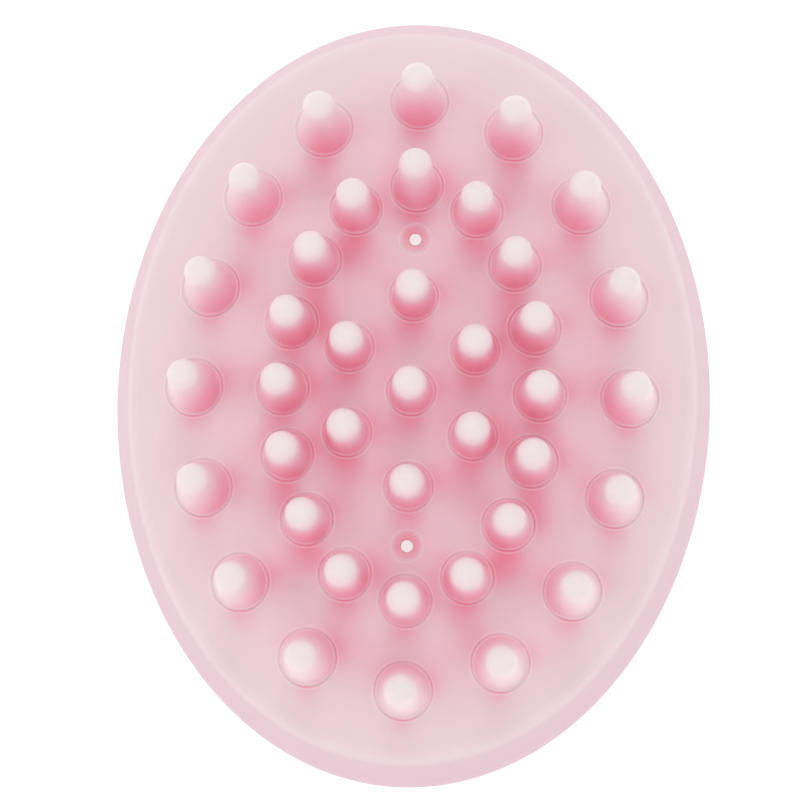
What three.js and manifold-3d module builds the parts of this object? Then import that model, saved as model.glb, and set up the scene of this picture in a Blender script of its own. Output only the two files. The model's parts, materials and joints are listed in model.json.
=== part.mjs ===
// Oval hand-held scalp massager brush.
//
// A soft silicone pad carries three oval rows of rounded pins and one pin in the middle. The pad snaps
// over the flange of a dished back shell. A domed carrier plate stands under its face, and two pegs on the
// plate locate it. Two screws run from inside the waisted palm grip through the shell into the plate, and a
// soft cap closes the grip.
//
// Units are millimetres. The brush stands on the flat end of its grip with the pins up (+Z), the long way
// of the oval is Y, and the origin is the middle of the flat end.

import * as THREE from "three";
import { mergeVertices } from "three/addons/utils/BufferGeometryUtils.js";
import Module from "manifold-3d";

const wasm = await Module();
wasm.setup();

// ---------- driving dimensions ----------

const BRUSH_LENGTH = 100;
const BRUSH_WIDTH = 77.3;
const OVAL = BRUSH_LENGTH / BRUSH_WIDTH; // the pad, plate and shell are round, stretched by this along Y
const GRIP_OVAL = 1.4; // the grip is stretched a little more
const GAP = 0.3; // clearance between pieces that meet

const FACE_Z = 42; // crown of the domed face
const FACE_DOME = 3; // how far the face falls from its crown to the ridge
const FACE_THICKNESS = 2.4;
const RIDGE_R = 35.75; // edge of the face, measured along X as every radius is
const RIDGE_Z = FACE_Z - FACE_DOME;
const RIM_R = BRUSH_WIDTH / 2; // widest line of the flared side wall
const RIM_Z = 30.4;
const PAD_BOTTOM_Z = 29.6;
const PAD_INNER_R = 33.4;

const FLANGE_R = 36.1; // the shell's flange, which the pad's groove grips
const FLANGE_BOTTOM_Z = 31.1;
const FLANGE_THICKNESS = 1.4;
const SHELL_WALL_R = 34.2;
const SHELL_FLOOR_Z = 21.3;
const SHELL_FLOOR_R = 11.5;
const SHELL_THICKNESS = 2;
const SHELL_BOWL_POWER = 1.8; // how late the dish turns up towards its wall
const LEDGE_R = 31.1; // inner edge of the ledge that the plate stands on

const PLATE_R = PAD_INNER_R - GAP;
const PLATE_DEPTH = 4.2; // from the top of the face to the top of the plate
const PLATE_THICKNESS = 1.6;

const GRIP_TOP_Z = SHELL_FLOOR_Z - GAP;
const GRIP_FLOOR_THICKNESS = 2.5;
const GRIP_BOTTOM_Z = 3.3;
const CAP_TOP_Z = GRIP_BOTTOM_Z - GAP;
const CAP_SPIGOT_R = 15.1;
const CAP_SPIGOT_HEIGHT = 2.5;
const FOOT_R = 14; // flat end that the brush stands on

const SCREW_Y = 8.5; // the two screws stand at +Y and -Y of the middle
const SCREW_SHANK_R = 1.45;
const SCREW_HEAD_R = 2.9;
const SCREW_HEAD_HEIGHT = 2;
const SCREW_END_Z = 31;
const SCREW_HOLE_R = SCREW_SHANK_R + GAP;
const BOSS_R = 3.4;

const PEG_Y = 19.55; // two pegs of the plate show on the long axis, each through a hole in a shallow dish
const PEG_R = 0.75;
const PEG_DEPTH = 0.7; // how far a peg ends under the face
const DISH_R = 1.95;
const DISH_DEPTH = 0.4;

// Rows of pins, each evenly spaced along an oval, the first pin at +Y. Heights are measured from the face.
const PIN_ROWS = [
  { name: "outer", count: 16, acrossR: 27.7, alongR: 37.7, footR: 3.8, tipR: 1.75, height: 15.2 },
  { name: "middle", count: 16, acrossR: 16.3, alongR: 26.45, footR: 3.4, tipR: 1.9, height: 12.4 },
  { name: "inner", count: 6, acrossR: 8.9, alongR: 12.1, footR: 3.1, tipR: 2.05, height: 11.5 },
];
const CENTRE_PIN = PIN_ROWS[2]; // the pin in the middle is the same as those round it
const PIVOT_DEPTH = 1.2; // a pin bends about this depth under the face
const FOOT_DEPTH = 1.5; // the foot ends this far under the pivot

const PAD_SIDES = 56;
const SHELL_SIDES = 40;
const GRIP_SIDES = 32;
const PIN_SIDES = 12;
const SCREW_SIDES = 12;
const TIP_STEPS = 3;

// ---------- materials ----------

function finish(color, roughness, metalness = 0) {
  return new THREE.MeshStandardMaterial({ color, roughness, metalness });
}

const SILICONE = finish(0xecc6d2, 0.42);
const PIN_SILICONE = finish(0xf2d3dc, 0.4);
const PALE_PLASTIC = finish(0xf3eeee, 0.5);
const PINK_PLASTIC = finish(0xe9b9c8, 0.3);
const SOFT_GRIP = finish(0xe2a5b8, 0.6);
const STEEL = finish(0xb9bcc0, 0.3, 0.9);

// ---------- geometry helpers ----------

// A closed solid turned about Z from [radius, height] pairs that run up the outside and down the inside.
function turned(profile, sides, stretchY = 1) {
  const points = profile.map(([r, z]) => new THREE.Vector2(r, z));
  return new THREE.LatheGeometry(points, sides).rotateX(Math.PI / 2).scale(1, stretchY, 1);
}

// A plain cylinder standing on z0 at (0, y).
function post(radius, z0, z1, sides, y = 0) {
  return turned([[0, z0], [radius, z0], [radius, z1], [0, z1]], sides).translate(0, y, 0);
}

// Points on an arc, angles in degrees from the +radius direction.
function arc(centreR, centreZ, radius, from, to, steps) {
  return Array.from({ length: steps + 1 }, (_, i) => {
    const angle = THREE.MathUtils.degToRad(from + ((to - from) * i) / steps);
    return [centreR + radius * Math.cos(angle), centreZ + radius * Math.sin(angle)];
  });
}

// Points along a smooth curve through a few [radius, height] pairs.
function smooth(pairs, steps) {
  const curve = new THREE.SplineCurve(pairs.map(([r, z]) => new THREE.Vector2(r, z)));
  return curve.getPoints(steps).map(({ x, y }) => [x, y]);
}

function solid(geometry) {
  geometry.deleteAttribute("normal");
  geometry.deleteAttribute("uv");
  const merged = mergeVertices(geometry, 1e-4);
  const vertProperties = merged.getAttribute("position").array;
  return new wasm.Manifold(
    new wasm.Mesh({ numProp: 3, vertProperties, triVerts: new Uint32Array(merged.index.array) }),
  );
}

function geometryOf(manifold) {
  const { vertProperties, triVerts } = manifold.getMesh();
  const geometry = new THREE.BufferGeometry();
  geometry.setAttribute("position", new THREE.BufferAttribute(vertProperties, 3));
  geometry.setIndex(new THREE.BufferAttribute(triVerts, 1));
  geometry.computeVertexNormals();
  return geometry;
}

function piece(name, geometry, material) {
  const mesh = new THREE.Mesh(geometry, material);
  mesh.name = name;
  return mesh;
}

// Height of the domed face at (x, y).
function faceZ(x, y) {
  const r = Math.hypot(x, y / OVAL);
  return FACE_Z - FACE_DOME * (r / RIDGE_R) ** 2;
}

// Points of the dome's profile between two radii, lowered by a depth.
function dome(fromR, toR, steps, depth = 0) {
  return Array.from({ length: steps + 1 }, (_, i) => {
    const r = fromR + ((toR - fromR) * i) / steps;
    return [r, faceZ(r, 0) - depth];
  });
}

// Stops at equal steps along an oval, starting at +Y and going clockwise as seen from above.
function ovalStops({ acrossR, alongR, count }) {
  const FINE = 3600;
  const at = (i) => {
    const angle = (2 * Math.PI * i) / FINE;
    return new THREE.Vector2(acrossR * Math.sin(angle), alongR * Math.cos(angle));
  };
  const walked = [0];
  for (let i = 1; i <= FINE; i++) walked.push(walked[i - 1] + at(i).distanceTo(at(i - 1)));
  const stop = (k) => at(walked.findIndex((w) => w >= (walked[FINE] * k) / count));
  return Array.from({ length: count }, (_, k) => stop(k));
}

// ---------- pins ----------

const twoDigits = (n) => String(n).padStart(2, "0");

// Every pin with its name, row and place.
const PINS = PIN_ROWS.flatMap((row) =>
  ovalStops(row).map((place, i) => ({ name: `pin_${row.name}_${twoDigits(i + 1)}`, row, place })),
);
PINS.push({ name: "pin_centre", row: CENTRE_PIN, place: new THREE.Vector2(0, 0) });

// A ball foot, a taper and a round tip, about the pivot that the pin bends on.
function pinGeometry({ footR, tipR, height }) {
  const tipZ = height + PIVOT_DEPTH - tipR;
  const taper = THREE.MathUtils.radToDeg(Math.asin((footR - tipR) / tipZ));
  const footAngle = -THREE.MathUtils.radToDeg(Math.asin(FOOT_DEPTH / footR));
  const profile = [
    [0, -FOOT_DEPTH],
    ...arc(0, 0, footR, footAngle, taper, 2),
    ...arc(0, tipZ, tipR, taper, 90, TIP_STEPS),
  ];
  profile[profile.length - 1][0] = 0; // the tip lies exactly on the axis
  return turned(profile, PIN_SIDES);
}

function buildPins() {
  const group = new THREE.Group();
  for (const { name, row, place } of PINS) {
    const pin = piece(name, pinGeometry(row), PIN_SILICONE);
    pin.position.set(place.x, place.y, faceZ(place.x, place.y) - PIVOT_DEPTH);
    group.add(pin);
  }
  return group;
}

// ---------- bristle pad ----------

// A straight hole round one pin, whose flats clear the foot.
function eyelet({ row, place }) {
  const radius = (row.footR + GAP) / Math.cos(Math.PI / PIN_SIDES);
  const z = faceZ(place.x, place.y);
  return post(radius, z - 2 * FACE_THICKNESS, z + FACE_THICKNESS, PIN_SIDES).translate(place.x, place.y, 0);
}

// The hole that clears one peg, with its dish.
function pegHole(y) {
  const z = faceZ(0, y);
  const holeR = PEG_R + GAP;
  const cutter = [
    [0, z - 2 * FACE_THICKNESS],
    [holeR, z - 2 * FACE_THICKNESS],
    [holeR, z - DISH_DEPTH],
    [DISH_R, z],
    [DISH_R, z + 1],
    [0, z + 1],
  ];
  return turned(cutter, PIN_SIDES).translate(0, y, 0);
}

function buildBristlePad() {
  const flangeTop = FLANGE_BOTTOM_Z + FLANGE_THICKNESS;
  const wall = [
    [RIM_R - 0.25, PAD_BOTTOM_Z + 0.25],
    [RIM_R, RIM_Z],
    [RIM_R - 1, RIM_Z + 4.2],
    [RIDGE_R + 0.35, RIDGE_Z - 0.6],
  ];
  const profile = [
    ...dome(0, PAD_INNER_R, 3, FACE_THICKNESS),
    [PAD_INNER_R, flangeTop + GAP],
    [FLANGE_R + GAP, flangeTop + GAP],
    [FLANGE_R + GAP, FLANGE_BOTTOM_Z - GAP],
    [SHELL_WALL_R + GAP, FLANGE_BOTTOM_Z - GAP],
    [SHELL_WALL_R + GAP, PAD_BOTTOM_Z],
    [RIM_R - 1.1, PAD_BOTTOM_Z],
    ...smooth(wall, 6),
    ...dome(RIDGE_R - 0.5, 0, 4),
  ];
  let pad = solid(turned(profile, PAD_SIDES, OVAL));
  for (const pin of PINS) pad = pad.subtract(solid(eyelet(pin)));
  for (const y of [PEG_Y, -PEG_Y]) pad = pad.subtract(solid(pegHole(y)));
  return piece("bristle_pad", geometryOf(pad), SILICONE);
}

// ---------- carrier plate ----------

// A domed plate under the face, with two bosses that the screws bite into from below and two pegs that
// locate the pad.
function buildCarrierPlate() {
  const underside = PLATE_DEPTH + PLATE_THICKNESS;
  const edgeZ = FLANGE_BOTTOM_Z + FLANGE_THICKNESS + GAP;
  const profile = [
    ...dome(0, PLATE_R - 3, 3, underside),
    [LEDGE_R, edgeZ],
    [PLATE_R, edgeZ],
    ...dome(PLATE_R, 0, 4, PLATE_DEPTH),
  ];
  const bossFoot = SHELL_FLOOR_Z + SHELL_THICKNESS + GAP;
  const bossTop = faceZ(0, SCREW_Y) - underside + PLATE_THICKNESS / 2;
  let plate = solid(turned(profile, SHELL_SIDES, OVAL));
  for (const y of [SCREW_Y, -SCREW_Y]) {
    plate = plate.add(solid(post(BOSS_R, bossFoot, bossTop, SCREW_SIDES, y)));
    plate = plate.subtract(solid(post(SCREW_HOLE_R, bossFoot - 1, SCREW_END_Z + 1, SCREW_SIDES, y)));
  }
  for (const y of [PEG_Y, -PEG_Y]) {
    const root = faceZ(0, y) - PLATE_DEPTH - PLATE_THICKNESS / 2;
    plate = plate.add(solid(post(PEG_R, root, faceZ(0, y) - PEG_DEPTH, PIN_SIDES, y)));
  }
  return piece("carrier_plate", geometryOf(plate), PALE_PLASTIC);
}

// ---------- back shell ----------

// Points of the dish's profile between two radii, lifted by a height.
function bowl(fromR, toR, steps, lift = 0) {
  return Array.from({ length: steps + 1 }, (_, i) => {
    const r = fromR + ((toR - fromR) * i) / steps;
    const share = (r - SHELL_FLOOR_R) / (SHELL_WALL_R - SHELL_FLOOR_R);
    return [r, SHELL_FLOOR_Z + lift + (PAD_BOTTOM_Z - SHELL_FLOOR_Z) * share ** SHELL_BOWL_POWER];
  });
}

function buildBackShell() {
  const flangeTop = FLANGE_BOTTOM_Z + FLANGE_THICKNESS;
  const profile = [
    [0, SHELL_FLOOR_Z],
    ...bowl(SHELL_FLOOR_R, SHELL_WALL_R, 6),
    [SHELL_WALL_R, FLANGE_BOTTOM_Z],
    [FLANGE_R, FLANGE_BOTTOM_Z],
    [FLANGE_R, flangeTop],
    [LEDGE_R, flangeTop],
    ...bowl(LEDGE_R, SHELL_FLOOR_R, 5, SHELL_THICKNESS),
    [0, SHELL_FLOOR_Z + SHELL_THICKNESS],
  ];
  let shell = solid(turned(profile, SHELL_SIDES, OVAL));
  for (const y of [SCREW_Y, -SCREW_Y]) {
    const hole = post(SCREW_HOLE_R, SHELL_FLOOR_Z - 1, SHELL_FLOOR_Z + SHELL_THICKNESS + 1, SCREW_SIDES, y);
    shell = shell.subtract(solid(hole));
  }
  return piece("back_shell", geometryOf(shell), PINK_PLASTIC);
}

// ---------- grip ----------

// A hollow, waisted knob, open below, whose floor takes the screw heads.
function buildGripCore() {
  const floorZ = GRIP_TOP_Z - GRIP_FLOOR_THICKNESS;
  const inside = [[9.2, floorZ], [9.6, 15.2], [13.2, 10.8], [16, 7.4], [CAP_SPIGOT_R + GAP, 5]];
  const outside = [[17.8, GRIP_BOTTOM_Z], [19, 6.6], [15.6, 11.2], [11.6, 16.6], [12.8, GRIP_TOP_Z]];
  const profile = [
    [0, floorZ],
    ...smooth(inside, 8),
    [CAP_SPIGOT_R + GAP, GRIP_BOTTOM_Z],
    ...smooth(outside, 14),
    [0, GRIP_TOP_Z],
  ];
  let core = solid(turned(profile, GRIP_SIDES, GRIP_OVAL));
  for (const y of [SCREW_Y, -SCREW_Y]) {
    const hole = post(SCREW_HOLE_R, floorZ - 1, GRIP_TOP_Z + 1, SCREW_SIDES, y);
    core = core.subtract(solid(hole));
  }
  return piece("grip_core", geometryOf(core), PINK_PLASTIC);
}

// A soft pad with a spigot that plugs the grip. Its flat underside is the foot.
function buildGripCap() {
  const profile = [
    [0, 0],
    [FOOT_R, 0],
    [15.9, 0.6],
    [17.2, 1.7],
    [17.8, CAP_TOP_Z],
    [CAP_SPIGOT_R, CAP_TOP_Z],
    [CAP_SPIGOT_R, CAP_TOP_Z + CAP_SPIGOT_HEIGHT],
    [0, CAP_TOP_Z + CAP_SPIGOT_HEIGHT],
  ];
  return piece("grip_cap", turned(profile, GRIP_SIDES, GRIP_OVAL), SOFT_GRIP);
}

// ---------- screws ----------

// A pan-head screw, head down, that runs up through the grip and the shell into the plate's boss.
function buildScrew(name, y) {
  const headTop = GRIP_TOP_Z - GRIP_FLOOR_THICKNESS - GAP;
  const profile = [
    [0, headTop - SCREW_HEAD_HEIGHT],
    [SCREW_HEAD_R - 0.8, headTop - SCREW_HEAD_HEIGHT],
    [SCREW_HEAD_R, headTop - SCREW_HEAD_HEIGHT / 2],
    [SCREW_HEAD_R, headTop],
    [SCREW_SHANK_R, headTop],
    [SCREW_SHANK_R, SCREW_END_Z - 1],
    [0, SCREW_END_Z],
  ];
  const screw = piece(name, turned(profile, SCREW_SIDES), STEEL);
  screw.position.set(0, y, 0);
  return screw;
}

// ---------- assembly ----------

const brush = new THREE.Group();
brush.add(buildBristlePad());
brush.add(buildPins());
brush.add(buildCarrierPlate());
brush.add(buildBackShell());
brush.add(buildGripCore());
brush.add(buildGripCap());
brush.add(buildScrew("screw_front", -SCREW_Y));
brush.add(buildScrew("screw_rear", SCREW_Y));

export default brush;
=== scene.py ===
import json
import math

import bmesh
import bpy
import numpy as np
from mathutils import Matrix, Vector
from mathutils.geometry import delaunay_2d_cdt


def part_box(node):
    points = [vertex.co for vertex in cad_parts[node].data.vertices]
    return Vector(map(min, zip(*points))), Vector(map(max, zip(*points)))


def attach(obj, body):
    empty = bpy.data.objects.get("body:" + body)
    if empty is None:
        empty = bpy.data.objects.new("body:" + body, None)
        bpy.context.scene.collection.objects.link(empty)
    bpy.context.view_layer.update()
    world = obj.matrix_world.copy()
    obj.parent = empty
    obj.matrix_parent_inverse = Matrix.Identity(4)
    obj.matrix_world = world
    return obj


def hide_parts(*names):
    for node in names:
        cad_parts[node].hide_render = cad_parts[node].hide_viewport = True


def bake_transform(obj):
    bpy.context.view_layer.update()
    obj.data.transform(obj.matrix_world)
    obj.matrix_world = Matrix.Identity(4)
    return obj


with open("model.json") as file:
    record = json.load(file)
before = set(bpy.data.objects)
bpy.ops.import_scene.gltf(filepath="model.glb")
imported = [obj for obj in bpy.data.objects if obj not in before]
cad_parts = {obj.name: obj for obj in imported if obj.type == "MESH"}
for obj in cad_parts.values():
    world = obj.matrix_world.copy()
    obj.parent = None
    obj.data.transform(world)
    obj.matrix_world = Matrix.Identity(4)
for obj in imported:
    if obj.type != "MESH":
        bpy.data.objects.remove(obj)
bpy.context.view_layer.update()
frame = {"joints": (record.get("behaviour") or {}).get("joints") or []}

# ---------- sizes, in millimetres, as the CAD model has them ----------

MM = 0.001
pad_low, pad_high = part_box("bristle_pad")
shell_low, shell_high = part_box("back_shell")
grip_low, grip_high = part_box("grip_core")
cap_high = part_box("grip_cap")[1]
screw_low, screw_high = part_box("screw_rear")

RIM_R = pad_high.x / MM  # radii are measured along X
OVAL = pad_high.y / pad_high.x  # the pad, plate and shell are round pieces stretched by this along Y
GRIP_OVAL = grip_high.y / grip_high.x
FACE_Z = pad_high.z / MM
PAD_BOTTOM_Z = pad_low.z / MM
FACE_DOME = 3.0
FACE_THICKNESS = 2.4
RIDGE_R = 35.75
RIM_Z = PAD_BOTTOM_Z + 0.8
PAD_INNER_R = 33.4

FLANGE_R = shell_high.x / MM
FLANGE_TOP_Z = shell_high.z / MM
FLANGE_BOTTOM_Z = FLANGE_TOP_Z - 1.4
SHELL_WALL_R = 34.2
SHELL_FLOOR_Z = shell_low.z / MM
SHELL_FLOOR_R = 11.5
SHELL_THICKNESS = 2.0
SHELL_BOWL_POWER = 1.8
LEDGE_R = 31.1
PLATE_R = 33.1
PLATE_DEPTH = 4.2
PLATE_THICKNESS = 1.6
GRIP_TOP_Z = grip_high.z / MM
GRIP_BOTTOM_Z = grip_low.z / MM
GRIP_FLOOR_Z = GRIP_TOP_Z - 2.5
SPIGOT_R = 15.1
GAP = 0.3

PEG_Y = 19.55
PEG_R = 0.8
PEG_HOLE_R = 0.84
PEG_DEPTH = 0.2
DISH_R = 1.95
DISH_DEPTH = 0.3
SCREW_Y = (screw_low.y + screw_high.y) / 2 / MM
SCREW_HEAD_R = screw_high.x / MM
SCREW_SHANK_R = 1.45
SCREW_HEAD_HEIGHT = 2.0
BOSS_R = 3.4
BORE_R = SCREW_SHANK_R + GAP

PIVOT_DEPTH = 1.2  # a pin bends about this depth under the face
FOOT_DEPTH = 1.5  # and its foot ends this far under the pivot
TIP_R = {"outer": 1.98, "middle": 2.06, "inner": 2.12, "centre": 2.12}
FOOT_R = {"outer": 3.52, "middle": 3.16, "inner": 2.93, "centre": 2.93}
PIN_FLARE = 1.3  # 1 is a straight taper; more keeps the upper pin slim and flares its foot
FILLET = 0.3  # radius of the cove where a pin's side runs into the pad
FILLET_OVERLAP = 0.12  # the cove ends this far outside the foot's radius
FOOT_SINK = 0.07  # and this far under the face, so that no gap opens between them
FOOT_BLEND = 3.0  # the foot follows the domed face, fading out this far up the pin
PIN_SIDES = 56
PIN_STEPS = 36
PIN_STEP_POWER = 1.5  # 1 spaces a pin's rings evenly; more puts them closer together at the foot
PIN_LEANS = {"pin_middle_01": (0.0, 1.0)}  # how far a leaning pin's tip stands off its axis
LEAN_POWER = 1.4  # a leaning pin curves away from its axis with this power of its height

# (share of a pin's height, tone shift): painted light on the tip and painted shade at the foot
PIN_PAINTED_LIGHT_SHIFT = ((0, 0), (0.3, -0.07), (0.5, -0.07), (0.7, 0), (0.85, 0.11), (1, 0.29))

# Painted shadow and light that each pin throws on the face beside it: (direction from +Y towards +X in
# degrees, tone shift)
PIN_SHADE = ((0, 0.3), (45, -0.1), (90, -0.28), (135, 0.25), (180, -0.56), (225, 0.2), (315, -0.1))
PIN_SHADE_REACH = 4.0  # the painted shade fades with this distance from the foot's edge
PIN_SHADE_END = 32.0  # and is left out beyond this distance from the pin's axis
PIN_SHADE_FOCUS = 4  # more makes each direction's painted shadow a narrower streak


def face_z(x, y):
    """Height of the pad's domed face, before its small reliefs."""
    return FACE_Z - FACE_DOME * (x * x + (y / OVAL) ** 2) / RIDGE_R**2


# ---------- mesh helpers ----------


def mesh_object(name, bm, smooth=True):
    for face in bm.faces:
        face.smooth = smooth
    mesh = bpy.data.meshes.new(name)
    bm.to_mesh(mesh)
    bm.free()
    obj = bpy.data.objects.new(name, mesh)
    bpy.context.scene.collection.objects.link(obj)
    return obj


def ring(bm, r, z, sides, stretch, centre=(0.0, 0.0)):
    """A ring of vertices in millimetres about a vertical axis."""
    verts = []
    for i in range(sides):
        turn = 2 * math.pi * i / sides
        x = centre[0] + r * math.sin(turn)
        y = centre[1] + r * stretch * math.cos(turn)
        verts.append(bm.verts.new((x * MM, y * MM, z * MM)))
    return verts


def bridge(bm, low, high):
    """Faces between two rings of the same number of vertices."""
    n = len(low)
    for i in range(n):
        j = (i + 1) % n
        bm.faces.new((low[i], high[i], high[j], low[j]))


def fan(bm, rim, z, centre=(0.0, 0.0), up=True):
    """Triangles from a ring to a point on its axis."""
    tip = bm.verts.new((centre[0] * MM, centre[1] * MM, z * MM))
    n = len(rim)
    for i in range(n):
        a, b = rim[i], rim[(i + 1) % n]
        bm.faces.new((b, a, tip) if up else (a, b, tip))


def turned(name, profile, sides, stretch=1.0, centre=(0.0, 0.0)):
    """A closed lathe solid. The profile runs from the axis, out and up the outside, and back to the axis."""
    bm = bmesh.new()
    rings = [ring(bm, r, z, sides, stretch, centre) for r, z in profile[1:-1]]
    for low, high in zip(rings, rings[1:]):
        bridge(bm, low, high)
    fan(bm, rings[0], profile[0][1], centre, up=False)
    fan(bm, rings[-1], profile[-1][1], centre, up=True)
    bmesh.ops.recalc_face_normals(bm, faces=bm.faces)
    return mesh_object(name, bm)


def arc(r0, z0, radius, start, end, steps):
    """Points on an arc, angles in degrees from the +radius direction."""
    angles = [math.radians(start + (end - start) * i / steps) for i in range(steps + 1)]
    return [(r0 + radius * math.cos(a), z0 + radius * math.sin(a)) for a in angles]


def spline(points, per_span):
    """A Catmull-Rom curve through the points."""
    pts = [Vector(p) for p in points]
    pts = [2 * pts[0] - pts[1], *pts, 2 * pts[-1] - pts[-2]]
    out = []
    for i in range(1, len(pts) - 2):
        p0, p1, p2, p3 = pts[i - 1 : i + 3]
        for k in range(per_span):
            t = k / per_span
            a = 2 * p1 + (p2 - p0) * t
            b = (2 * p0 - 5 * p1 + 4 * p2 - p3) * t * t
            c = (3 * p1 - p0 - 3 * p2 + p3) * t**3
            out.append(tuple((a + b + c) / 2))
    out.append(tuple(pts[-2]))
    return out


def rounded(profile, radius, steps=4):
    """The profile with every inner corner rounded by up to the radius."""
    out = [profile[0]]
    for before, corner, after in zip(profile, profile[1:], profile[2:]):
        p, c, n = Vector(before), Vector(corner), Vector(after)
        reach = min(radius, (p - c).length * 0.45, (n - c).length * 0.45)
        start, end = c + (p - c).normalized() * reach, c + (n - c).normalized() * reach
        for k in range(steps + 1):
            t = k / steps
            out.append(tuple(start * (1 - t) ** 2 + c * 2 * t * (1 - t) + end * t * t))
    out.append(profile[-1])
    return out


def combine(target, tools, operation):
    """Boolean of the target with each tool, applied to its mesh. The tools are used up."""
    for tool in tools:
        modifier = target.modifiers.new("combine", "BOOLEAN")
        modifier.operation = operation
        modifier.solver = "EXACT"
        modifier.object = tool
    graph = bpy.context.evaluated_depsgraph_get()
    mesh = bpy.data.meshes.new_from_object(target.evaluated_get(graph))
    target.modifiers.clear()
    target.data = mesh
    for tool in tools:
        bpy.data.objects.remove(tool)
    for polygon in mesh.polygons:
        polygon.use_smooth = True
    return target


def post(radius, z0, z1, y, sides=48):
    """An upright round post on the long axis, for a Boolean."""
    return turned("post", [(0, z0), (radius, z0), (radius, z1), (0, z1)], sides, centre=(0, y))


def on_curve(x, curve):
    """The value at x of a curve of straight lines between (x, value) points."""
    return float(np.interp(x, *zip(*curve)))


def sharp_by_angle(obj, degrees=38):
    obj.data.set_sharp_from_angle(angle=math.radians(degrees))


# ---------- pins: places and shapes ----------

PINS = {}
for joint in frame["joints"]:
    name = joint["child"]
    row = name.split("_")[1]
    x, y, z = (v / MM for v in joint["pos_m"])
    tip_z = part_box(name)[1].z / MM
    PINS[name] = {"row": row, "x": x, "y": y, "pivot": z, "face": z + PIVOT_DEPTH, "tip": tip_z}


def pin_profile(pin):
    """(radius, height over the pivot) up the side of one pin, from its buried foot to its round tip."""
    foot, tip_r = FOOT_R[pin["row"]], TIP_R[pin["row"]]
    height = pin["tip"] - pin["pivot"]
    shoulder = height - tip_r
    buried = [(foot - 0.25, -FOOT_DEPTH), (foot, -FOOT_DEPTH + 0.25), (foot, PIVOT_DEPTH - FILLET)]
    side = []
    for i in range(PIN_STEPS):
        share = (i / PIN_STEPS) ** PIN_STEP_POWER
        taper = tip_r + (foot - FILLET + FILLET_OVERLAP - tip_r) * (1 - share) ** PIN_FLARE
        over_face = share * (shoulder - PIVOT_DEPTH)
        cove = FILLET - math.sqrt(FILLET**2 - max(FILLET - over_face, 0) ** 2)
        side.append((taper + cove, PIVOT_DEPTH + over_face - FOOT_SINK * (1 - share) ** 4))
    return [(0, -FOOT_DEPTH), *buried, *side, *arc(0, shoulder, tip_r, 0, 86, 14), (0, height)]


def build_pin(name, pin):
    """One pin's skin, whose foot follows the pad's domed face and whose upper part may lean."""
    profile = [(r, pin["pivot"] + z) for r, z in pin_profile(pin)]
    obj = turned(name + "_skin", profile, PIN_SIDES, centre=(pin["x"], pin["y"]))
    lean_x, lean_y = PIN_LEANS.get(name, (0.0, 0.0))
    height = pin["tip"] - pin["face"]
    shift = obj.data.attributes.new("painted_shading_shift", "FLOAT", "POINT")
    for i, vert in enumerate(obj.data.vertices):
        over_face = max(vert.co.z / MM - pin["face"], 0.0)
        share = min(over_face / height, 1.0)
        slope = face_z(vert.co.x / MM, vert.co.y / MM) - face_z(pin["x"], pin["y"])
        vert.co.z += slope * max(1 - over_face / FOOT_BLEND, 0.0) * MM
        # painted light on the tip and painted shade at the foot
        shift.data[i].value = on_curve(share, PIN_PAINTED_LIGHT_SHIFT)
        vert.co.x += lean_x * share**LEAN_POWER * MM
        vert.co.y += lean_y * share**LEAN_POWER * MM
    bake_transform(obj)
    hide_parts(name)
    return obj


# ---------- bristle pad ----------

# (distance from a pin foot's edge, height) of the fine moulded lip round it
FOOT_LIP = ((-1.4, 0), (-0.2, 0), (0.22, 0), (0.31, 0.03), (0.38, 0.05), (0.45, 0.03), (0.54, 0))
LIP_HEIGHT = 0.05
FOOT_RINGS = (0.8, 1.2)  # two more rings of mesh points, at these distances from the foot's edge
DISH_PAINTED_SHADE = ((-1.1, -0.3), (-0.5, -0.2), (-0.1, 0))  # (distance from the dish's edge, shift) of the painted shade in the dish
DISH_SLOPE_POWER = 0.8
DISH_MARGIN = 0.3  # the mesh points' rings go this far past the dish's edge
DISH_PAINTED_HIGHLIGHT = ((-0.05, 0), (0.1, 1), (0.3, 0))  # (distance from the dish's edge, share of the painted highlight colour)
RIDGE_PAINTED_HIGHLIGHT = ((-0.9, 0), (-0.4, 0.35), (0.1, 0.35), (0.5, 0))  # the same painted highlight along the ridge
FIELD_ROW_STEP = 0.866  # spacing of the rows of a field of even triangles, as a share of their side
RIM_SIDES = 288
PEG_SIDES = 40


def from_foot(x, y):
    """Distance from (x, y) to the edge of the nearest pin's foot."""
    return min(math.hypot(x - p["x"], y - p["y"]) - FOOT_R[p["row"]] for p in PINS.values())


def from_peg(x, y):
    """Distance from (x, y) to the axis of the nearer peg."""
    return math.hypot(x, abs(y) - PEG_Y)


def relief_z(x, y):
    """Height of the moulded relief at (x, y): the lip round each pin's foot and the dish round each peg."""
    lift = on_curve(from_foot(x, y), FOOT_LIP)
    to_peg = from_peg(x, y)
    if to_peg < DISH_R:
        share = 1 - (to_peg - PEG_HOLE_R) / (DISH_R - PEG_HOLE_R)
        lift -= DISH_DEPTH * min(max(share, 0.0), 1.0) ** DISH_SLOPE_POWER
    return lift


def pin_shade(x, y):
    """Painted shadow and light that the pins throw on the face at (x, y), as a tone shift."""
    shift = 0.0
    for p in PINS.values():
        dx, dy = x - p["x"], y - p["y"]
        distance = math.hypot(dx, dy) + 1e-6
        if distance > PIN_SHADE_END:
            continue
        fade = math.exp(-max(distance - FOOT_R[p["row"]], 0.0) / PIN_SHADE_REACH)
        for degrees, strength in PIN_SHADE:
            turn = math.radians(degrees)
            along = (dx * math.sin(turn) + dy * math.cos(turn)) / distance
            shift += strength * fade * max(along, 0.0) ** PIN_SHADE_FOCUS
    return shift


def circle_points(x0, y0, radius, count):
    turns = (2 * math.pi * i / count for i in range(count))
    return [(x0 + radius * math.sin(a), y0 + radius * math.cos(a)) for a in turns]


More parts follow.
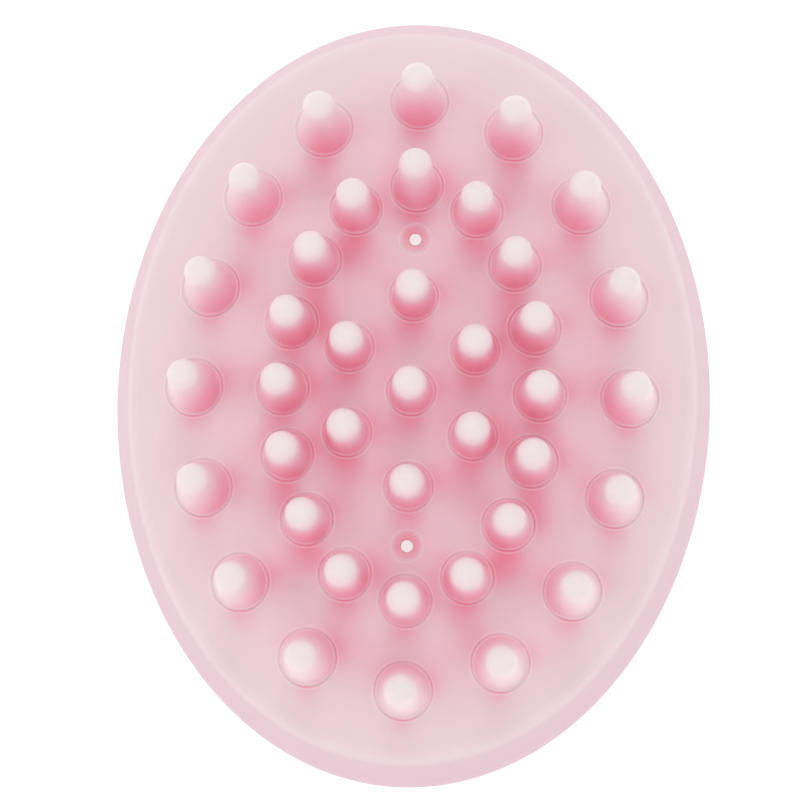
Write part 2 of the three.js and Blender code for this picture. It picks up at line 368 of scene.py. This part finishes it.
def face_points(spacing, margin_r):
    """Points over the face: rings round every pin and peg, and an even field between them."""
    points = []
    for p in PINS.values():
        foot = FOOT_R[p["row"]]
        for offset, _ in FOOT_LIP:
            points += circle_points(p["x"], p["y"], foot + offset, 72)
        for offset in FOOT_RINGS:
            points += circle_points(p["x"], p["y"], foot + offset, 48)
    for y in (PEG_Y, -PEG_Y):
        for radius in np.linspace(PEG_HOLE_R + 0.12, DISH_R + DISH_MARGIN, 12):
            points += circle_points(0, y, float(radius), PEG_SIDES)
    rows = int(2 * margin_r * OVAL / (spacing * FIELD_ROW_STEP)) + 2
    for j in range(-rows // 2, rows // 2 + 1):
        for i in range(-int(margin_r / spacing) - 1, int(margin_r / spacing) + 2):
            x, y = (i + 0.5 * (j % 2)) * spacing, j * spacing * FIELD_ROW_STEP
            if math.hypot(x, y / OVAL) > margin_r - 0.3 * spacing:
                continue
            if from_foot(x, y) < FOOT_RINGS[-1] + spacing / 2:
                continue
            if from_peg(x, y) < DISH_R + DISH_MARGIN + spacing / 2:
                continue
            points.append((x, y))
    return points


def sheet(bm, rim_verts, hole_rings, points, height, flip):
    """Fills the space inside the rim with triangles through the points, at the given height."""
    fixed = rim_verts + [v for hole in hole_rings for v in hole]
    fixed_xy = [Vector((v.co.x / MM, v.co.y / MM)) for v in fixed]
    result = delaunay_2d_cdt(fixed_xy + [Vector(p) for p in points], [], [], 0, 1e-5)
    verts = []
    for place, origins in zip(result[0], result[3]):
        if origins and origins[0] < len(fixed):
            verts.append(fixed[origins[0]])
        else:
            verts.append(bm.verts.new((place.x * MM, place.y * MM, height(place.x, place.y) * MM)))
    for a, b, c in result[2]:
        x = sum(verts[i].co.x for i in (a, b, c)) / 3 / MM
        y = sum(verts[i].co.y for i in (a, b, c)) / 3 / MM
        if from_peg(x, y) < PEG_HOLE_R:
            continue
        corners = (verts[a], verts[b], verts[c])
        bm.faces.new(corners[::-1] if flip else corners)


def paint_pad(obj):
    """Writes the pad face's painted shade and where a lip or the ridge gets a painted highlight, for its
    material.
    """
    painted_lip_highlight = obj.data.attributes.new("painted_lip_highlight", "FLOAT", "POINT")
    shift = obj.data.attributes.new("painted_shading_shift", "FLOAT", "POINT")
    for i, vert in enumerate(obj.data.vertices):
        x, y, z = vert.co / MM
        if z <= face_z(x, y) - 0.5:
            continue
        from_dish = from_peg(x, y) - DISH_R
        from_ridge = math.hypot(x, y / OVAL) - RIDGE_R
        # the foot lip's height sets its painted highlight
        foot_highlight = on_curve(from_foot(x, y), FOOT_LIP) / LIP_HEIGHT
        painted_lip_highlight.data[i].value = foot_highlight + on_curve(from_dish, DISH_PAINTED_HIGHLIGHT) + on_curve(from_ridge, RIDGE_PAINTED_HIGHLIGHT)
        # painted shadow beside each pin and painted shade in the dish
        shift.data[i].value = pin_shade(x, y) + on_curve(from_dish, DISH_PAINTED_SHADE)


def build_pad():
    bm = bmesh.new()
    face_edge_r = RIDGE_R - 1.6
    shoulder_r = RIDGE_R - 0.75
    ridge_z = face_z(RIDGE_R, 0) - 0.05
    wall = spline([(face_edge_r, face_z(face_edge_r, 0)), (shoulder_r, face_z(shoulder_r, 0) + 0.04),
                   (RIDGE_R + 0.1, ridge_z), (RIDGE_R + 0.75, ridge_z - 1.15), (RIM_R - 1.15, RIM_Z + 4.2),
                   (RIM_R - 0.2, RIM_Z + 1.3), (RIM_R, RIM_Z), (RIM_R - 0.35, PAD_BOTTOM_Z + 0.2),
                   (RIM_R - 1.1, PAD_BOTTOM_Z)], 6)
    inside = [(SHELL_WALL_R + GAP, PAD_BOTTOM_Z), (SHELL_WALL_R + GAP, FLANGE_BOTTOM_Z - GAP),
              (FLANGE_R + GAP, FLANGE_BOTTOM_Z - GAP), (FLANGE_R + GAP, FLANGE_TOP_Z + GAP),
              (PAD_INNER_R, FLANGE_TOP_Z + GAP), (PAD_INNER_R, face_z(PAD_INNER_R, 0) - FACE_THICKNESS)]
    profile = wall + rounded([wall[-1], *inside], 0.25, 3)[1:]
    rings = [ring(bm, r, z, RIM_SIDES, OVAL) for r, z in profile]
    for high, low in zip(rings, rings[1:]):
        bridge(bm, low, high)
    top_holes, bottom_holes = [], []
    for y in (PEG_Y, -PEG_Y):
        top = face_z(0, y) - DISH_DEPTH
        bottom = face_z(0, y) - FACE_THICKNESS
        column = [ring(bm, PEG_HOLE_R, z, PEG_SIDES, 1.0, (0, y)) for z in (top, top - 0.5, bottom)]
        for high, low in zip(column, column[1:]):
            bridge(bm, high, low)
        top_holes.append(column[0])
        bottom_holes.append(column[-1])
    fine = face_points(1.1, face_edge_r)
    sheet(bm, rings[0], top_holes, fine, lambda x, y: face_z(x, y) + relief_z(x, y), False)
    under = [(x, y) for x, y in face_points(2.4, PAD_INNER_R - 1.5) if from_peg(x, y) > PEG_HOLE_R + 0.3]
    coarse = under[::6]  # the unseen underside needs few points
    sheet(bm, rings[-1], bottom_holes, coarse, lambda x, y: face_z(x, y) - FACE_THICKNESS, True)
    bmesh.ops.recalc_face_normals(bm, faces=bm.faces)
    obj = mesh_object("pad_skin", bm)
    sharp_by_angle(obj, 55)
    paint_pad(obj)
    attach(obj, "brush")
    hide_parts("bristle_pad")
    return obj


# ---------- carrier plate, back shell, grip and screws ----------


def dome(start, end, steps, depth):
    """Profile points at a depth under the domed face, from one radius to another."""
    radii = [start + (end - start) * i / steps for i in range(steps + 1)]
    return [(r, face_z(r, 0) - depth) for r in radii]


def build_plate():
    edge_z = FLANGE_TOP_Z + GAP
    underside = PLATE_DEPTH + PLATE_THICKNESS
    below = dome(0, PLATE_R - 3, 12, underside)
    above = dome(PLATE_R - 1, 0, 16, PLATE_DEPTH)
    edge_top = (PLATE_R, face_z(PLATE_R, 0) - PLATE_DEPTH)
    edge = rounded([below[-1], (LEDGE_R, edge_z), (PLATE_R, edge_z), edge_top, above[0]], 0.3)
    plate = turned("plate_body", [*below, *edge[1:-1], *above], 160, OVAL)
    boss_foot = SHELL_FLOOR_Z + SHELL_THICKNESS + GAP
    joined, bores = [], []
    for y in (SCREW_Y, -SCREW_Y):
        joined.append(post(BOSS_R, boss_foot, face_z(0, y) - underside + 0.8, y))
        bores.append(post(BORE_R, boss_foot - 1, screw_high.z / MM + 1, y))
    for y in (PEG_Y, -PEG_Y):
        root, top = face_z(0, y) - PLATE_DEPTH - 0.8, face_z(0, y) - PEG_DEPTH
        peg = rounded([(0, root), (PEG_R, root), (PEG_R, top), (0, top)], 0.2)
        joined.append(turned("peg", [(0, root), *peg[2:-1], (0, top)], PEG_SIDES, centre=(0, y)))
    combine(plate, joined, "UNION")
    combine(plate, bores, "DIFFERENCE")
    sharp_by_angle(plate)
    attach(plate, "brush")
    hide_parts("carrier_plate")
    return plate


def bowl(start, end, steps, lift=0.0):
    """Profile points on the shell's bowl, lifted by its thickness for the inside."""
    points = []
    for i in range(steps + 1):
        r = start + (end - start) * i / steps
        share = max((r - SHELL_FLOOR_R) / (SHELL_WALL_R - SHELL_FLOOR_R), 0)
        rise = (PAD_BOTTOM_Z - SHELL_FLOOR_Z) * share**SHELL_BOWL_POWER
        points.append((r, SHELL_FLOOR_Z + lift + rise))
    return points


def build_shell():
    inside_z = SHELL_FLOOR_Z + SHELL_THICKNESS
    outside = bowl(SHELL_FLOOR_R, SHELL_WALL_R, 28)
    inside = bowl(LEDGE_R, SHELL_FLOOR_R, 20, SHELL_THICKNESS)
    flange = [(FLANGE_R, FLANGE_BOTTOM_Z), (FLANGE_R, FLANGE_TOP_Z), (LEDGE_R, FLANGE_TOP_Z)]
    edge = rounded([(SHELL_WALL_R, PAD_BOTTOM_Z), (SHELL_WALL_R, FLANGE_BOTTOM_Z), *flange, inside[0]], 0.25)
    profile = [(0, SHELL_FLOOR_Z), *outside, *edge[1:], *inside[1:], (0, inside_z)]
    shell = turned("shell_dish", profile, 192, OVAL)
    holes = [post(BORE_R, SHELL_FLOOR_Z - 1, inside_z + 1, y) for y in (SCREW_Y, -SCREW_Y)]
    combine(shell, holes, "DIFFERENCE")
    sharp_by_angle(shell)
    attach(shell, "brush")
    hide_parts("back_shell")
    return shell


def build_grip():
    top_z = GRIP_TOP_Z + 0.2  # nearly up to the shell, so that only a fine parting line shows
    socket_r = SPIGOT_R + GAP
    inside = spline([(9.2, GRIP_FLOOR_Z), (9.6, 15.2), (13.2, 10.8), (16, 7.4), (socket_r, 5)], 6)
    outside = spline([(17.8, GRIP_BOTTOM_Z), (19, 6.6), (15.6, 11.2), (11.6, 16.6), (12.8, top_z)], 12)
    rim = [(socket_r, GRIP_BOTTOM_Z), (17.5, GRIP_BOTTOM_Z)]
    grip = turned("grip_knob", [(0, GRIP_FLOOR_Z), *inside, *rim, *outside, (0, top_z)], 160, GRIP_OVAL)
    holes = [post(BORE_R, GRIP_FLOOR_Z - 1, GRIP_TOP_Z + 1, y) for y in (SCREW_Y, -SCREW_Y)]
    combine(grip, holes, "DIFFERENCE")
    sharp_by_angle(grip)
    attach(grip, "brush")
    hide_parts("grip_core")
    return grip


def build_cap():
    top_z = GRIP_BOTTOM_Z - 0.1  # nearly up to the grip
    spigot_z = cap_high.z / MM
    side = spline([(14, 0), (15.9, 0.45), (17.3, 1.6), (17.8, top_z)], 8)
    profile = [(0, 0), (6, 0), (12, 0), *side, (SPIGOT_R, top_z), (SPIGOT_R, spigot_z), (0, spigot_z)]
    cap = turned("cap_pad", profile, 160, GRIP_OVAL)
    sharp_by_angle(cap)
    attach(cap, "brush")
    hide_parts("grip_cap")
    return cap


def build_screw(node, y):
    """A pan-head screw with a cross slot, standing on its head."""
    head_low = screw_low.z / MM
    head_top = head_low + SCREW_HEAD_HEIGHT
    end = screw_high.z / MM
    shoulder = (SCREW_HEAD_R - 0.9, head_low + 0.25)
    head = spline([(0.6, head_low), shoulder, (SCREW_HEAD_R, head_low + 1.2)], 6)
    profile = [(0, head_low), *head, (SCREW_HEAD_R, head_top), (SCREW_SHANK_R, head_top),
               (SCREW_SHANK_R, end - 1), (0, end)]
    screw = turned(node + "_fine", profile, 48, centre=(0, y))
    slots = []
    for across, along in ((0.7, 3.0), (3.0, 0.7)):
        bm = bmesh.new()
        bmesh.ops.create_cube(bm, size=1.0)
        size = Matrix.Diagonal((across * MM, along * MM, 2.2 * MM, 1))
        bm.transform(Matrix.Translation((0, y * MM, head_low * MM)) @ size)
        slots.append(mesh_object("slot", bm, smooth=False))
    combine(screw, slots, "DIFFERENCE")
    sharp_by_angle(screw)
    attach(screw, "brush")
    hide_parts(node)
    return screw


# ---------- materials ----------

OCCLUSION_SHADE_REACH = 0.018  # metres within which the silicone's own shape shades it, for the painted shade
MOST_OPEN = 1.25  # the openness at the pale end of a tone ramp
# Painted highlight on the lips round the pins' feet, round the pegs' dishes and along the ridge
LIP_HIGHLIGHT_COLOUR = (0.97, 0.84, 0.87)
LIP_HIGHLIGHT_STRENGTH = 0.48
# (openness, colour), painted shade from the hollows to the open
PAD_SHADE_TONES = (
    (0.0, (0.95, 0.3, 0.41)),
    (0.15, (0.93, 0.4, 0.5)),
    (0.3, (0.92, 0.51, 0.61)),
    (0.42, (0.905, 0.59, 0.67)),
    (0.55, (0.9, 0.67, 0.735)),
    (0.7, (0.895, 0.7, 0.745)),
    (0.85, (0.885, 0.7, 0.745)),
    (1.0, (0.875, 0.71, 0.745)),
)
PIN_SHADE_TONES = (
    (0.05, (1.0, 0.36, 0.48)),
    (0.15, (1.0, 0.44, 0.56)),
    (0.26, (0.99, 0.56, 0.66)),
    (0.37, (0.98, 0.64, 0.73)),
    (0.51, (0.975, 0.72, 0.785)),
    (0.71, (0.96, 0.75, 0.79)),
    (0.95, (0.955, 0.795, 0.82)),
    (1.1, (0.945, 0.82, 0.83)),
    (1.2, (0.92, 0.81, 0.82)),
)
PIN_LIT_SIDE = (0.0, 0.16, -0.12)  # painted light and shade: how much paler a pin is painted on the side that faces along X, Y and Z
# Painted shade on the wall: a darker colour, which begins at one height in metres and is full at a lower one
PAD_WALL_SHADE = {"top": 0.0387, "full": 0.0375, "colour": (0.79, 0.56, 0.635)}


class Nodes:
    """A short way to write a material's nodes."""

    def __init__(self, name):
        self.material = bpy.data.materials.new(name)
        self.material.use_nodes = True
        self.tree = self.material.node_tree
        self.shader = self.tree.nodes["Principled BSDF"]
        self.place = self.new("ShaderNodeTexCoord").outputs["Object"]

    def new(self, kind, inputs=None, **settings):
        node = self.tree.nodes.new(kind)
        for key, value in settings.items():
            setattr(node, key, value)
        for key, value in (inputs or {}).items():
            if isinstance(value, bpy.types.NodeSocket):
                self.tree.links.new(value, node.inputs[key])
            else:
                node.inputs[key].default_value = value
        return node

    def noise(self, scale, detail=3.0, roughness=0.5):
        inputs = {"Vector": self.place, "Scale": scale, "Detail": detail, "Roughness": roughness}
        return self.new("ShaderNodeTexNoise", inputs).outputs["Fac"]

    def span(self, value, low=0.0, high=1.0, from_low=0.0, from_high=1.0):
        """The value with one range stretched to another."""
        inputs = {"Value": value, "To Min": low, "To Max": high, "From Min": from_low, "From Max": from_high}
        return self.new("ShaderNodeMapRange", inputs).outputs["Result"]

    def attribute(self, name):
        return self.new("ShaderNodeAttribute", attribute_name=name).outputs["Fac"]

    def plus(self, a, b):
        return self.new("ShaderNodeMath", {0: a, 1: b}, operation="ADD").outputs[0]

    def mix(self, share, a, b):
        """Colour a turning into colour b as the share goes from 0 to 1."""
        # sockets 6 and 7, and the output 2, are the node's colours
        return self.new("ShaderNodeMix", {0: share, 6: a, 7: b}, data_type="RGBA").outputs[2]

    def ramp(self, value, stops):
        """A colour ramp through (position, colour) stops."""
        node = self.new("ShaderNodeValToRGB", {"Fac": value})
        elements = node.color_ramp.elements
        while len(elements) < len(stops):
            elements.new(0.5)
        for element, (position, colour) in zip(elements, stops):
            element.position = position
            element.color = (*colour, 1)
        return node.outputs["Color"]

    def bump(self, height, distance, strength=1.0, normal=None):
        inputs = {"Height": height, "Distance": distance, "Strength": strength}
        if normal is not None:
            inputs["Normal"] = normal
        return self.new("ShaderNodeBump", inputs).outputs["Normal"]

    def set(self, **values):
        """Sets the shader's inputs, named with _ for each space."""
        for key, value in values.items():
            socket = self.shader.inputs[key.replace("_", " ")]
            if isinstance(value, bpy.types.NodeSocket):
                self.tree.links.new(value, socket)
            else:
                socket.default_value = value


def silicone(name, shade_tones, lit_side=None, wall=None):
    """Milky silicone whose colour is painted shade: pale where it lies open and a deeper pink in its hollows
    and beside its pins.

    It may be painted paler towards a lit side, and may have painted shade on a wall and painted highlights
    on lips and the ridge.
    """
    n = Nodes(name)
    # painted shade: ambient occlusion plus the painted light and shade written on the mesh set how pale the
    # colour is
    painted_occlusion = n.new("ShaderNodeAmbientOcclusion", {"Distance": OCCLUSION_SHADE_REACH}, samples=8).outputs["AO"]
    cloud = n.span(n.noise(110.0, 4.0, 0.55), -0.03, 0.03)
    openness = n.plus(n.plus(painted_occlusion, n.attribute("painted_shading_shift")), cloud)
    if lit_side:
        # painted light and shade by the way the surface faces
        normal = n.new("ShaderNodeNewGeometry").outputs["Normal"]
        lit = n.new("ShaderNodeVectorMath", {0: normal, 1: lit_side}, operation="DOT_PRODUCT")
        openness = n.plus(openness, lit.outputs["Value"])
    share = n.span(openness, from_high=MOST_OPEN)
    base = n.ramp(share, [(position / MOST_OPEN, colour) for position, colour in shade_tones])
    if wall:
        # painted shade on the wall
        height = n.new("ShaderNodeSeparateXYZ", {"Vector": n.place}).outputs["Z"]
        on_wall = n.span(height, from_low=wall["top"], from_high=wall["full"])
        base = n.mix(on_wall, base, (*wall["colour"], 1))
        # painted highlight on the lips and the ridge
        base = n.mix(n.span(n.attribute("painted_lip_highlight"), 0.0, LIP_HIGHLIGHT_STRENGTH), base, (*LIP_HIGHLIGHT_COLOUR, 1))
    fine = n.noise(2600.0, 2.0, 0.6)
    waves = n.noise(260.0, 2.0, 0.5)
    skin = n.bump(waves, 0.00005, 0.5, n.bump(fine, 0.00001, 0.5))
    rough = n.span(n.noise(400.0, 3.0), 0.38, 0.5)
    n.shader.subsurface_method = "BURLEY"
    n.set(Base_Color=base, Roughness=rough, Normal=skin, IOR=1.41, Specular_IOR_Level=0.5,
          Subsurface_Weight=0.3, Subsurface_Radius=(0.6, 0.5, 0.5), Subsurface_Scale=0.001)
    return n.material


def plastic(name, colour, low_rough, high_rough, grain, depth, painted_glow=0.0):
    """Moulded plastic or rubber, with slight changes of shade and gloss and a fine grain, and an optional
    painted glow.
    """
    n = Nodes(name)
    shade = n.span(n.noise(70.0, 3.0), 0.0, 0.1)
    base = n.mix(shade, (*colour, 1), (*[c * 0.9 for c in colour], 1))
    surface = n.bump(n.noise(grain, 3.0), depth, 0.6)
    n.set(Base_Color=base, Roughness=n.span(n.noise(500.0, 4.0), low_rough, high_rough), Normal=surface)
    if painted_glow:
        n.set(Emission_Color=(1, 1, 1, 1), Emission_Strength=painted_glow)
    return n.material


def steel():
    n = Nodes("zinc_steel")
    n.set(Base_Color=(0.6, 0.61, 0.63, 1), Metallic=1.0, Roughness=n.span(n.noise(900.0, 4.0), 0.25, 0.42),
          Normal=n.bump(n.noise(1500.0), 0.00002, 0.4))
    return n.material


def assign(obj, material):
    obj.data.materials.clear()
    obj.data.materials.append(material)


# ---------- stage ----------

WORLD_STRENGTH = 0.82
FLOOR_SHADE = 0.93
FLOOR_GLOW = 0.36
CAMERA_LENS = 125.41
CAMERA_PLACE = (9.13, -38.75, 392.0)
CAMERA_TARGET = (-1.392, -1.046, 41.0)
CAMERA_ROLL = 1.63  # degrees

# name, azimuth from +Y towards +X in degrees, reach from the middle, height and side in mm, watts
SOFTBOXES = (
    ("softbox_key", 2, 230, 370, 100, 0.11),
    ("softbox_left", 270, 150, 200, 90, 0.025),
    ("softbox_right", 90, 150, 200, 90, 0.01),
    ("softbox_front", 180, 150, 140, 120, 0.01),
)


def softbox(name, azimuth, reach, height, size, power):
    light = bpy.data.lights.new(name, "AREA")
    light.size = size * MM
    light.energy = power
    obj = bpy.data.objects.new(name, light)
    bpy.context.scene.collection.objects.link(obj)
    turn = math.radians(azimuth)
    obj.location = Vector((reach * math.sin(turn), reach * math.cos(turn), height)) * MM
    aim = Vector((0, 0, FACE_Z)) * MM - obj.location
    obj.rotation_euler = aim.to_track_quat("-Z", "Y").to_euler()


def build_stage():
    bm = bmesh.new()
    bmesh.ops.create_grid(bm, x_segments=8, y_segments=8, size=3.0)
    floor = mesh_object("floor", bm)
    n = Nodes("pale_floor")
    n.set(Base_Color=(FLOOR_SHADE, FLOOR_SHADE, FLOOR_SHADE, 1), Roughness=0.7)
    n.set(Emission_Color=(1, 1, 1, 1), Emission_Strength=FLOOR_GLOW)
    assign(floor, n.material)

    world = bpy.data.worlds.new("studio")
    bpy.context.scene.world = world
    world.use_nodes = True
    background = world.node_tree.nodes["Background"]
    background.inputs["Color"].default_value = (1, 1, 1, 1)
    background.inputs["Strength"].default_value = WORLD_STRENGTH
    for lamp in SOFTBOXES:
        softbox(*lamp)
    bpy.context.scene.view_settings.view_transform = "Standard"


def build_camera():
    camera = bpy.data.objects.new("camera", bpy.data.cameras.new("camera"))
    bpy.context.scene.collection.objects.link(camera)
    camera.data.lens = CAMERA_LENS
    camera.data.sensor_width = 36.0
    camera.data.clip_start = 0.01
    place = Vector(CAMERA_PLACE) * MM
    target = Vector(CAMERA_TARGET) * MM
    back = (place - target).normalized()
    right = Vector((0, 1, 0)).cross(back).normalized()
    up = back.cross(right)
    axes = Matrix((right, up, back)).transposed().to_4x4()
    roll = Matrix.Rotation(math.radians(CAMERA_ROLL), 4, "Z")
    camera.matrix_world = Matrix.Translation(place) @ axes @ roll
    bpy.context.scene.camera = camera


# ---------- the whole scene ----------

build_camera()
build_stage()
assign(build_pad(), silicone("pad_silicone", PAD_SHADE_TONES, wall=PAD_WALL_SHADE))
pin_material = silicone("pin_skin_silicone", PIN_SHADE_TONES, lit_side=PIN_LIT_SIDE)
for pin_name, pin_data in PINS.items():
    assign(build_pin(pin_name, pin_data), pin_material)
# the pegs and plate are given a painted glow
carrier_material = plastic("carrier_plastic", (0.9, 0.96, 0.94), 0.4, 0.55, 1200.0, 0.00002, painted_glow=0.13)
assign(build_plate(), carrier_material)
shell_material = plastic("shell_plastic", (0.82, 0.5, 0.58), 0.2, 0.3, 300.0, 0.00002)
assign(build_shell(), shell_material)
assign(build_grip(), shell_material)
assign(build_cap(), plastic("grip_rubber", (0.74, 0.36, 0.46), 0.55, 0.7, 2200.0, 0.00006))
screw_material = steel()
assign(build_screw("screw_rear", SCREW_Y), screw_material)
assign(build_screw("screw_front", -SCREW_Y), screw_material)
